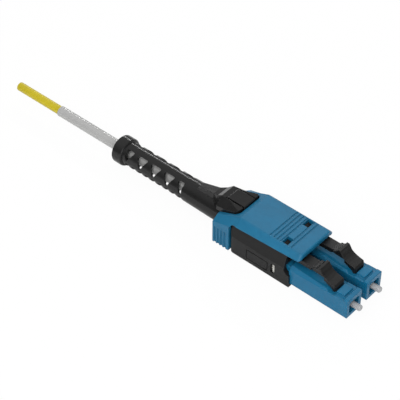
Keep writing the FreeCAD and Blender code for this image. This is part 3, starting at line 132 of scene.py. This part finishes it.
def remap(tree, value, low, high, start=0.0, end=1.0):
    item = put(tree, "ShaderNodeMapRange", {
        "Value": value, "From Min": low, "From Max": high, "To Min": start, "To Max": end})
    return item.outputs["Result"]


def blendColour(tree, share, first, second):
    return put(tree, "ShaderNodeMix", {0: share, 6: first, 7: second}, data_type="RGBA").outputs[2]


def newGroup(name, inputs, outputs):
    group = bpy.data.node_groups.new(name, "ShaderNodeTree")
    for label, kind, default in inputs:
        socket = group.interface.new_socket(name=label, in_out="INPUT", socket_type=kind)
        socket.default_value = default
    for label, kind in outputs:
        group.interface.new_socket(name=label, in_out="OUTPUT", socket_type=kind)
    return group, group.nodes.new("NodeGroupInput").outputs, group.nodes.new("NodeGroupOutput").inputs


def use(tree, group, inputs=None):
    return put(tree, "ShaderNodeGroup", inputs, node_tree=group).outputs


number, colour, vector = "NodeSocketFloat", "NodeSocketColor", "NodeSocketVector"


# Where the point lies on its piece, in millimetres.
def makePlaceGroup():
    group, _, out = newGroup("placeOnPiece", [], [
        ("Place", vector), ("X", number), ("Y", number), ("Z", number)])
    spot = put(group, "ShaderNodeTexCoord").outputs["Object"]
    scaled = put(group, "ShaderNodeVectorMath", {0: spot, "Scale": 1000.0}, operation="SCALE").outputs[0]
    group.links.new(scaled, out["Place"])
    parts = put(group, "ShaderNodeSeparateXYZ", {0: scaled}).outputs
    for axis in ("X", "Y", "Z"):
        group.links.new(parts[axis], out[axis])
    return group


# Edges: a rounded normal for them, and a mask of where handling rubs them pale; on the plastics that pale
# edge is also a painted highlight.
def makeEdgeGroup():
    group, given, out = newGroup("rubbedAndHighlitEdge", [
        ("Radius", number, 0.0001), ("Breakup", number, 1.6)], [("Mask", number), ("Normal", vector)])
    rounded = put(group, "ShaderNodeBevel", {"Radius": given["Radius"]}, samples=8).outputs["Normal"]
    flat = put(group, "ShaderNodeNewGeometry").outputs["Normal"]
    same = put(group, "ShaderNodeVectorMath", {0: rounded, 1: flat}, operation="DOT_PRODUCT").outputs["Value"]
    edge = remap(group, same, 0.995, 0.86)
    where = use(group, placeGroup)["Place"]
    patch = remap(group, noise(group, where, given["Breakup"], 5.0, 0.7), 0.42, 0.62)
    group.links.new(calc(group, "MULTIPLY", edge, patch, clamp=True), out["Mask"])
    group.links.new(rounded, out["Normal"])
    return group


# Moulding: the eroded grain of the tool, slow flow shading and a few fine scuffs.
def makeMouldGroup():
    group, given, out = newGroup("mouldedSurface", [
        ("Grain", number, 14.0), ("Flow", number, 0.35), ("Scuffs", number, 0.5)], [
        ("Height", number), ("Shade", number), ("Gloss", number), ("Scuff", number)])
    where = use(group, placeGroup)["Place"]
    coarse = noise(group, where, given["Grain"], 3.0, 0.6)
    fine = put(group, "ShaderNodeTexVoronoi", {
        "Vector": where, "Scale": calc(group, "MULTIPLY", given["Grain"], 1.7)}, feature="SMOOTH_F1")
    height = calc(group, "ADD", coarse, calc(group, "MULTIPLY", fine.outputs["Distance"], 0.6))
    stretched = put(group, "ShaderNodeMapping", {"Vector": where, "Scale": (0.12, 0.4, 0.4)}).outputs[0]
    flow = noise(group, stretched, given["Flow"], 4.0, 0.6)
    patch = noise(group, where, 0.9, 5.0, 0.65)
    shade = calc(group, "ADD", calc(group, "MULTIPLY", flow, 0.6), calc(group, "MULTIPLY", patch, 0.4))
    lines = put(group, "ShaderNodeMapping", {
        "Vector": where, "Rotation": (0.2, 0.3, 0.6), "Scale": (0.35, 7.0, 7.0)}).outputs[0]
    thin = remap(group, noise(group, lines, 1.1, 3.0, 0.8), 0.68, 0.74)
    spread = remap(group, noise(group, where, 0.23, 2.0), 0.5, 0.65)
    scuff = calc(group, "MULTIPLY", calc(group, "MULTIPLY", thin, spread), given["Scuffs"], clamp=True)
    group.links.new(height, out["Height"])
    group.links.new(shade, out["Shade"])
    group.links.new(patch, out["Gloss"])
    group.links.new(scuff, out["Scuff"])
    return group


# Dust: specks that lie on faces which look up.
def makeDustGroup():
    group, given, out = newGroup("settledDust", [("Amount", number, 0.2)], [("Mask", number)])
    where = use(group, placeGroup)["Place"]
    up = put(group, "ShaderNodeSeparateXYZ", {
        0: put(group, "ShaderNodeNewGeometry").outputs["Normal"]}).outputs["Z"]
    specks = remap(group, noise(group, where, 6.5, 2.0, 0.9), 0.66, 0.74)
    haze = remap(group, noise(group, where, 0.35, 3.0), 0.4, 0.8, 0.0, 0.25)
    dust = calc(group, "MULTIPLY", calc(group, "ADD", specks, haze), remap(group, up, 0.2, 0.9))
    group.links.new(calc(group, "MULTIPLY", dust, given["Amount"], clamp=True), out["Mask"])
    return group


# Turning: rings round the X axis as a lathe leaves them.
def makeTurnedGroup():
    group, given, out = newGroup("turnedRings", [("Pitch", number, 9.0)], [
        ("Height", number), ("Shade", number)])
    along = use(group, placeGroup)["X"]
    line = put(group, "ShaderNodeCombineXYZ", {"X": along}).outputs[0]
    group.links.new(noise(group, line, given["Pitch"], 4.0, 0.7), out["Height"])
    where = use(group, placeGroup)["Place"]
    group.links.new(noise(group, where, 0.8, 4.0, 0.6), out["Shade"])
    return group


# Barrel: the true round normal of the boot's tube, which tapers towards its rear, and of its collar.
barrel = {
    "frontX": -32.4,
    "rearX": -43.9,
    "frontRadius": 2.82,
    "rearRadius": 2.67,
    "collarX": -60.8,
    "collarRadius": 3.13,
    "reach": 0.14,      # how far off the round wall a face may lie
    "facing": 0.8,      # how squarely it must look outward
}


def makeBarrelGroup():
    group, given, out = newGroup("barrelNormal", [("Normal", vector, (0.0, 0.0, 1.0))], [("Normal", vector)])
    place = use(group, placeGroup)
    away = distance(group, place["Y"], place["Z"])
    taper = remap(group, place["X"], barrel["rearX"], barrel["frontX"],
                  barrel["rearRadius"], barrel["frontRadius"])
    onCollar = calc(group, "LESS_THAN", place["X"], barrel["collarX"])
    step = calc(group, "MULTIPLY", onCollar, barrel["collarRadius"] - barrel["rearRadius"])
    wall = calc(group, "ADD", taper, step)
    gap = calc(group, "ABSOLUTE", calc(group, "SUBTRACT", away, wall))
    outward = put(group, "ShaderNodeCombineXYZ", {"Y": place["Y"], "Z": place["Z"]}).outputs[0]
    turned = put(group, "ShaderNodeVectorTransform", {0: outward}, vector_type="NORMAL").outputs[0]
    flat = put(group, "ShaderNodeNewGeometry").outputs["Normal"]
    same = put(group, "ShaderNodeVectorMath", {0: turned, 1: flat}, operation="DOT_PRODUCT").outputs["Value"]
    share = calc(group, "MULTIPLY", calc(group, "LESS_THAN", gap, barrel["reach"]),
                 calc(group, "GREATER_THAN", same, barrel["facing"]))
    mix = put(group, "ShaderNodeMix", {0: share, 4: given["Normal"], 5: turned}, data_type="VECTOR")
    group.links.new(mix.outputs[1], out["Normal"])
    return group


placeGroup = makePlaceGroup()
edgeGroup = makeEdgeGroup()
barrelGroup = makeBarrelGroup()
mouldGroup = makeMouldGroup()
dustGroup = makeDustGroup()
turnedGroup = makeTurnedGroup()
print("shared node groups made")


def newMaterial(name):
    material = bpy.data.materials.new(name)
    material.use_nodes = True
    tree = material.node_tree
    return material, tree, tree.nodes["Principled BSDF"]


def tint(base, factor):
    return (*(min(1.0, part * factor) for part in base), 1.0)


# Plastics: edge is the rounding of the edges in millimetres, and patchy the swing of the roughness; the edge
# share paints the edges pale, partly as rubbing and partly as a painted highlight.
dustColour = (0.36, 0.35, 0.33, 1.0)
plastics = {
    "cover_blue": {
        "colour": (0.006, 0.134, 0.258), "roughness": 0.42, "patchy": 0.05, "specular": 0.32,
        "variation": 0.16, "grain": 12.0, "depth": 0.07, "edge": 0.20,
        "edgeWearAndHighlight": 0.4, "dust": 0.04, "scuffs": 0.3},
    "plug_blue": {
        "colour": (0.005, 0.126, 0.246), "roughness": 0.38, "patchy": 0.05, "specular": 0.28,
        "variation": 0.18, "grain": 15.0, "depth": 0.06, "edge": 0.30,
        "edgeWearAndHighlight": 0.4, "dust": 0.04, "scuffs": 0.25},
    "frame_black": {
        "colour": (0.010, 0.010, 0.010), "roughness": 0.40, "patchy": 0.03, "specular": 0.22,
        "variation": 0.3, "grain": 11.0, "depth": 0.06, "edge": 0.14,
        "edgeWearAndHighlight": 0.5, "dust": 0.015, "scuffs": 0.25},
    "latch_black": {
        "colour": (0.007, 0.007, 0.007), "roughness": 0.40, "patchy": 0.03, "specular": 0.32,
        "variation": 0.3, "grain": 16.0, "depth": 0.05, "edge": 0.16,
        "edgeWearAndHighlight": 0.5, "dust": 0.015, "scuffs": 0.2},
    "boot_black": {
        "colour": (0.0105, 0.0105, 0.0105), "roughness": 0.20, "patchy": 0.012, "specular": 0.30,
        "variation": 0.3, "grain": 9.0, "depth": 0.006, "edge": 0.10,
        "edgeWearAndHighlight": 0.5, "dust": 0.01, "scuffs": 0.1},
    "natural_plastic": {
        "colour": (0.52, 0.51, 0.47), "roughness": 0.5, "patchy": 0.06, "specular": 0.5,
        "variation": 0.12, "grain": 12.0, "depth": 0.1, "edge": 0.08,
        "edgeWearAndHighlight": 0.1, "dust": 0.0, "scuffs": 0.1},
    "sleeve_white": {
        "colour": (0.40, 0.40, 0.395), "roughness": 0.14, "patchy": 0.02, "specular": 0.7,
        "variation": 0.03, "grain": 5.0, "depth": 0.02, "edge": 0.05,
        "edgeWearAndHighlight": 0.1, "dust": 0.02, "scuffs": 0.1},
    "jacket_yellow": {
        "colour": (0.53, 0.43, 0.012), "roughness": 0.38, "patchy": 0.06, "specular": 0.4,
        "variation": 0.16, "grain": 7.0, "depth": 0.12, "edge": 0.04,
        "edgeWearAndHighlight": 0.1, "dust": 0.05, "scuffs": 0.25},
}


def makePlastic(name, look):
    material, tree, shader = newMaterial(name)
    mould = use(tree, mouldGroup, {"Grain": look["grain"], "Scuffs": look["scuffs"]})
    edge = use(tree, edgeGroup, {"Radius": look["edge"] * mm})
    dust = use(tree, dustGroup, {"Amount": look["dust"]})["Mask"]
    swing = look["variation"]
    shade = remap(tree, mould["Shade"], 0.3, 0.7)
    base = blendColour(tree, shade, tint(look["colour"], 1 - swing), tint(look["colour"], 1 + swing))
    pale = tuple(0.55 * part + 0.07 for part in look["colour"])
    # Pale edges: partly rubbing from handling, partly a painted highlight along the edges.
    rubbedAndHighlit = calc(tree, "MULTIPLY", edge["Mask"], look["edgeWearAndHighlight"])
    wornAndHighlit = blendColour(tree, rubbedAndHighlit, base, (*pale, 1.0))
    scratched = blendColour(tree, calc(tree, "MULTIPLY", mould["Scuff"], 0.35), wornAndHighlit, (*pale, 1.0))
    dusty = blendColour(tree, dust, scratched, dustColour)
    gloss = remap(tree, mould["Gloss"], 0.3, 0.7,
                  look["roughness"] - look["patchy"], look["roughness"] + look["patchy"])
    rough = calc(tree, "ADD", gloss, calc(tree, "MULTIPLY", dust, 0.4), clamp=True)
    normal = edge["Normal"]
    if name == "boot_black":
        normal = use(tree, barrelGroup, {"Normal": normal})["Normal"]
    bump = put(tree, "ShaderNodeBump", {
        "Strength": look["depth"], "Distance": 0.05 * mm, "Height": mould["Height"], "Normal": normal})
    feed(tree, shader, {
        "Base Color": dusty, "Roughness": rough, "Normal": bump.outputs["Normal"],
        "Specular IOR Level": look["specular"]})
    return material


# Metals: turned, plated or drawn.
metals = {
    "nickel": {
        "colour": (0.60, 0.58, 0.54), "dark": (0.36, 0.34, 0.31), "bright": (0.75, 0.74, 0.71),
        "roughness": 0.28, "pitch": 9.0, "depth": 0.2, "edge": 0.05},
    "spring_steel": {
        "colour": (0.52, 0.52, 0.52), "dark": (0.3, 0.3, 0.31), "bright": (0.75, 0.74, 0.71),
        "roughness": 0.24, "pitch": 3.0, "depth": 0.1, "edge": 0.05},
}


def makeMetal(name, look):
    material, tree, shader = newMaterial(name)
    rings = use(tree, turnedGroup, {"Pitch": look["pitch"]})
    edge = use(tree, edgeGroup, {"Radius": look["edge"] * mm})
    stain = remap(tree, rings["Shade"], 0.35, 0.7)
    base = blendColour(tree, stain, (*look["colour"], 1.0), (*look["dark"], 1.0))
    rubbedAndHighlit = calc(tree, "MULTIPLY", edge["Mask"], 0.7)
    bright = blendColour(tree, rubbedAndHighlit, base, (*look["bright"], 1.0))
    rough = remap(tree, rings["Height"], 0.3, 0.7, look["roughness"] - 0.08, look["roughness"] + 0.12)
    bump = put(tree, "ShaderNodeBump", {
        "Strength": look["depth"], "Distance": 0.02 * mm,
        "Height": rings["Height"], "Normal": edge["Normal"]})
    feed(tree, shader, {
        "Base Color": bright, "Metallic": 1.0, "Roughness": rough, "Normal": bump.outputs["Normal"]})
    return material


# Ferrule ceramic: polished round, with the glass core as a dot in the middle of the tip.
ceramic = {
    "colour": (0.40, 0.405, 0.41),
    "shaded": (0.33, 0.335, 0.345),
    "core": (0.05, 0.06, 0.09),
    "coreRadius": 0.0625,
    "coreFrom": 1.65,       # the core shows in front of this X, which is on the tip's face
    "halfPitch": 3.125,
    "roughness": 0.24,
    "pitch": 5.0,
    "edge": 0.08,
}


def makeCeramic(name, look):
    material, tree, shader = newMaterial(name)
    place = use(tree, placeGroup)
    rings = use(tree, turnedGroup, {"Pitch": look["pitch"]})
    edge = use(tree, edgeGroup, {"Radius": look["edge"] * mm})
    across = calc(tree, "SUBTRACT", calc(tree, "ABSOLUTE", place["Y"]), look["halfPitch"])
    away = distance(tree, across, place["Z"])
    dot = calc(tree, "MULTIPLY", calc(tree, "LESS_THAN", away, look["coreRadius"]),
               calc(tree, "GREATER_THAN", place["X"], look["coreFrom"]))
    cloud = remap(tree, rings["Shade"], 0.35, 0.65)
    base = blendColour(tree, cloud, (*look["colour"], 1.0), (*look["shaded"], 1.0))
    withCore = blendColour(tree, dot, base, (*look["core"], 1.0))
    rough = remap(tree, rings["Height"], 0.3, 0.7, look["roughness"] - 0.05, look["roughness"] + 0.08)
    bump = put(tree, "ShaderNodeBump", {
        "Strength": 0.05, "Distance": 0.02 * mm, "Height": rings["Height"], "Normal": edge["Normal"]})
    feed(tree, shader, {
        "Base Color": withCore, "Roughness": rough, "Normal": bump.outputs["Normal"], "IOR": 1.6})
    return material


# Fibre coating: one colour for each channel.
fibres = {"fibre_near": (0.05, 0.16, 0.55), "fibre_far": (0.75, 0.22, 0.03)}


def makeCoating(name, shown):
    material, tree, shader = newMaterial(name)
    mould = use(tree, mouldGroup, {"Grain": 20.0, "Scuffs": 0.1})
    shade = remap(tree, mould["Shade"], 0.3, 0.7)
    base = blendColour(tree, shade, tint(shown, 0.85), tint(shown, 1.15))
    bump = put(tree, "ShaderNodeBump", {"Strength": 0.05, "Distance": 0.02 * mm, "Height": mould["Height"]})
    feed(tree, shader, {
        "Base Color": base, "Normal": bump.outputs["Normal"],
        "Roughness": remap(tree, mould["Gloss"], 0.3, 0.7, 0.22, 0.34)})
    return material


finishes = {name: makePlastic(name, look) for name, look in plastics.items()}
finishes.update({name: makeMetal(name, look) for name, look in metals.items()})
finishes["ceramic_white"] = makeCeramic("ceramic_white", ceramic)
slots = {part["node"]: part["material_slot"] for part in frame["record"]["subparts"]}
for name, piece in frame["nodes"].items():
    if name in fibres:
        piece.material_slots[0].material = makeCoating(name, fibres[name])
    else:
        piece.material_slots[0].material = finishes[slots[name]]
print("materials set on the nodes")

# Cable: the jacket from the collar to its cut end, hollow there, with yarn round the two fibres.
cable = {
    "route": [(-63.6 * mm, 0.0, 0.0), (-79.0 * mm, 0.0, 0.0), (-94.5 * mm, 0.0, 0.0)],
    "length": 30.9 * mm,
    "radius": 1.0 * mm,
    "bore": 0.65 * mm,
    "recess": 2.5 * mm,     # how deep the bore is open at the cut end
    "rimRound": 0.06 * mm,
    "sides": 48,
    "rings": 40,
}


def routePoints(corners):
    curve = bpy.data.curves.new("route", "CURVE")
    curve.dimensions = "3D"
    curve.resolution_u = 24
    spline = curve.splines.new("NURBS")
    spline.points.add(len(corners) - 1)
    for point, corner in zip(spline.points, corners):
        point.co = (*corner, 1.0)
    spline.order_u = 3
    spline.use_endpoint_u = True
    holder = link(bpy.data.objects.new("route", curve))
    mesh = bpy.data.meshes.new_from_object(holder)
    points = [vertex.co.copy() for vertex in mesh.vertices]
    bpy.data.objects.remove(holder)
    bpy.data.meshes.remove(mesh)
    return points


def spotOn(points, share):
    reach = share * (len(points) - 1)
    index = min(int(reach), len(points) - 2)
    return points[index].lerp(points[index + 1], reach - index)


def sweep(name, loops):
    sides = len(loops[0])
    corners = [corner for loop in loops for corner in loop]
    faces = []
    for ring in range(len(loops) - 1):
        for side in range(sides):
            beside = (side + 1) % sides
            faces.append((ring * sides + side, ring * sides + beside,
                          (ring + 1) * sides + beside, (ring + 1) * sides + side))
    faces.append(tuple(reversed(range(sides))))
    faces.append(tuple(range((len(loops) - 1) * sides, len(loops) * sides)))
    mesh = bpy.data.meshes.new(name)
    mesh.from_pydata(corners, [], faces)
    mesh.update()
    return link(bpy.data.objects.new(name, mesh))


def circleAt(centre, radius, sides):
    return [(centre[0], centre[1] + radius * math.cos(2 * math.pi * side / sides),
             centre[2] + radius * math.sin(2 * math.pi * side / sides)) for side in range(sides)]


def smoothFaces(piece, angle):
    for face in piece.data.polygons:
        face.use_smooth = True
    piece.data.set_sharp_from_angle(angle=math.radians(angle))


def addCable():
    points = routePoints(cable["route"])
    end = points[-1]
    wall, bore, edge = cable["radius"], cable["bore"], cable["rimRound"]
    loops = []
    for ring in range(cable["rings"]):
        spot = spotOn(points, ring / (cable["rings"] - 1))
        loops.append(circleAt(spot, wall, cable["sides"]))
    loops[-1] = circleAt(end + Vector((edge, 0, 0)), wall, cable["sides"])
    loops.append(circleAt(end + Vector((edge * 0.3, 0, 0)), wall - edge * 0.3, cable["sides"]))
    loops.append(circleAt(end, wall - edge, cable["sides"]))
    loops.append(circleAt(end, bore + edge * 0.5, cable["sides"]))
    loops.append(circleAt(end + Vector((edge * 0.5, 0, 0)), bore, cable["sides"]))
    loops.append(circleAt(end + Vector((cable["recess"], 0, 0)), bore, cable["sides"]))
    piece = sweep("cable", loops)
    smoothFaces(piece, 40)
    piece.data.materials.append(finishes["jacket_yellow"])
    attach(piece, "housing")
    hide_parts("cable_jacket")
    return piece, points


# Yarn: loose strands that fill the bore round the fibres at the cut.
yarn = {
    "strands": 90,
    "radius": 0.032 * mm,
    "sides": 6,
    "depth": 2.0 * mm,
    "tips": (0.03, 0.35),       # how far inside the cut the strands end, in millimetres
    "fibreOffset": 0.2 * mm,    # each fibre lies this far from the middle
    "clear": 0.17 * mm,         # room that the strands leave round a fibre
    "dark": (0.42, 0.31, 0.07, 1.0),
    "pale": (0.66, 0.53, 0.2, 1.0),
    "seed": 4,
}


def makeYarnMaterial():
    material, tree, shader = newMaterial("yarn")
    where = use(tree, placeGroup)["Place"]
    streak = put(tree, "ShaderNodeMapping", {"Vector": where, "Scale": (0.6, 9.0, 9.0)}).outputs[0]
    shade = remap(tree, noise(tree, streak, 2.0, 3.0), 0.35, 0.65)
    base = blendColour(tree, shade, yarn["dark"], yarn["pale"])
    bump = put(tree, "ShaderNodeBump", {"Strength": 0.3, "Distance": 0.01 * mm, "Height": shade})
    feed(tree, shader, {"Base Color": base, "Roughness": remap(tree, shade, 0.0, 1.0, 0.45, 0.7),
                        "Normal": bump.outputs["Normal"]})
    return material


def addYarn(end):
    dice = random.Random(yarn["seed"])
    reach = cable["bore"] - yarn["radius"] * 1.6
    drift = yarn["radius"] * 0.4
    sides = yarn["sides"]
    corners, faces = [], []
    placed = 0
    while placed < yarn["strands"]:
        y, z = dice.uniform(-reach, reach), dice.uniform(-reach, reach)
        nearest = min(math.hypot(y - yarn["fibreOffset"], z), math.hypot(y + yarn["fibreOffset"], z))
        if math.hypot(y, z) > reach or nearest < yarn["clear"]:
            continue
        start = len(corners)
        tip = dice.uniform(*yarn["tips"]) * mm
        for station in (yarn["depth"], yarn["depth"] * 0.5, tip):
            spot = end + Vector((station, y + dice.uniform(-drift, drift), z + dice.uniform(-drift, drift)))
            corners.extend(circleAt(spot, yarn["radius"], sides))
        for ring in range(2):
            for side in range(sides):
                low, high = start + ring * sides, start + (ring + 1) * sides
                faces.append((low + side, low + (side + 1) % sides, high + (side + 1) % sides, high + side))
        faces.append(tuple(start + side for side in reversed(range(sides))))
        faces.append(tuple(start + 2 * sides + side for side in range(sides)))
        placed += 1
    mesh = bpy.data.meshes.new("yarn")
    mesh.from_pydata(corners, [], faces)
    piece = link(bpy.data.objects.new("yarn", mesh))
    smoothFaces(piece, 50)
    mesh.materials.append(makeYarnMaterial())
    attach(piece, "housing")
    return piece


cord, cordPath = addCable()
strands = addYarn(cordPath[-1])
print("cable made")

# Springs: coils between the stop and the flange.
spring = {
    "turns": 7,
    "wire": 0.15 * mm,      # the wire's radius
    "travel": 0.8 * mm,
    "steps": 28,            # rings of corners in one turn
    "sides": 10,
}


def addSpring(side):
    solid = frame["nodes"][f"spring_{side}"]
    corners = [solid.matrix_world @ Vector(corner) for corner in solid.bound_box]
    rear, front = min(corner.x for corner in corners), max(corner.x for corner in corners)
    axis = sum(corner.y for corner in corners) / len(corners)
    height = max(corner.z for corner in corners) - min(corner.z for corner in corners)
    reach = height / 2 - spring["wire"]
    span = front - rear - 2 * spring["wire"]
    angles = [2 * math.pi * index / spring["sides"] for index in range(spring["sides"])]
    ahead = Vector((1, 0, 0))
    rings = []
    count = spring["turns"] * spring["steps"]
    for step in range(count + 1):
        turn = 2 * math.pi * step / spring["steps"]
        out = Vector((0.0, math.cos(turn), math.sin(turn)))
        centre = Vector((rear + spring["wire"] + span * step / count, axis, 0.0)) + out * reach
        rings.append([centre + (out * math.cos(angle) + ahead * math.sin(angle)) * spring["wire"]
                      for angle in angles])
    piece = sweep(f"coil_{side}", rings)
    smoothFaces(piece, 50)
    piece.data.materials.append(finishes["spring_steel"])
    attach(piece, "housing")
    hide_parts(f"spring_{side}")
    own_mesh(piece)


for side in ("near", "far"):
    addSpring(side)
print("springs made")

# Light and floor: a soft key above the near side, a strip behind for the rim, a white sheet below.
light = {
    "horizon": 0.26,
    "zenith": 0.80,
    "skyRise": (0.42, 0.85),    # from where to where up the sky it brightens
    "floorColour": (0.9, 0.9, 0.9, 1.0),
    "floorWhite": 0.95,         # how much of the sheet the camera sees as plain white
    "floorReach": 3.0,
}
middle = (-0.035, 0.0, 0.0)
lamps = {
    "keyLamp": {"place": (0.0, -0.20, 0.25), "target": middle, "size": (0.2, 0.2), "power": 0.43},
    "fillLamp": {"place": (0.20, -0.20, 0.12), "target": middle, "size": (0.2, 0.2), "power": 0.36},
    "rimLamp": {
        "place": (-0.20, 0.262, 0.162), "target": (-0.20, 0.0, 0.0), "size": (0.40, 0.016), "power": 0.42},
}


def addLamp(name, given):
    data = bpy.data.lights.new(name, "AREA")
    data.shape = "RECTANGLE"
    data.size, data.size_y = given["size"]
    data.energy = given["power"]
    lamp = link(bpy.data.objects.new(name, data))
    lamp.location = given["place"]
    lamp.rotation_euler = (Vector(given["target"]) - lamp.location).to_track_quat("-Z", "Y").to_euler()


def addWorld():
    world = bpy.data.worlds.new("studio")
    scene.world = world
    world.use_nodes = True
    tree = world.node_tree
    tree.nodes.clear()
    way = put(tree, "ShaderNodeTexCoord").outputs["Generated"]
    height = put(tree, "ShaderNodeSeparateXYZ", {0: way}).outputs["Z"]
    level = remap(tree, height, *light["skyRise"], light["horizon"], light["zenith"])
    sky = put(tree, "ShaderNodeBackground", {"Color": (1.0, 1.0, 1.0, 1.0), "Strength": level})
    backdrop = put(tree, "ShaderNodeBackground", {"Color": (1.0, 1.0, 1.0, 1.0), "Strength": 1.0})
    rays = put(tree, "ShaderNodeLightPath").outputs
    mix = put(tree, "ShaderNodeMixShader", {
        0: rays["Is Camera Ray"], 1: sky.outputs[0], 2: backdrop.outputs[0]})
    put(tree, "ShaderNodeOutputWorld", {"Surface": mix.outputs[0]})


def addFloor():
    height = cadBox[0][2]
    reach = light["floorReach"]
    mesh = bpy.data.meshes.new("floor")
    mesh.from_pydata([(-reach, -reach, height), (reach, -reach, height), (reach, reach, height),
                      (-reach, reach, height)], [], [(0, 1, 2, 3)])
    floor = link(bpy.data.objects.new("floor", mesh))
    material, tree, shader = newMaterial("floorPaper")
    feed(tree, shader, {"Base Color": light["floorColour"], "Roughness": 0.95})
    plain = put(tree, "ShaderNodeEmission", {"Color": (1.0, 1.0, 1.0, 1.0), "Strength": 1.0})
    rays = put(tree, "ShaderNodeLightPath").outputs
    seen = calc(tree, "MAXIMUM", rays["Is Camera Ray"], rays["Is Transmission Ray"])
    share = calc(tree, "MULTIPLY", seen, light["floorWhite"])
    mix = put(tree, "ShaderNodeMixShader", {0: share, 1: shader.outputs[0], 2: plain.outputs[0]})
    tree.links.new(mix.outputs[0], tree.nodes["Material Output"].inputs["Surface"])
    mesh.materials.append(material)


for name, given in lamps.items():
    addLamp(name, given)
addWorld()
addFloor()
scene.view_settings.view_transform = "Standard"
print("light and floor set")
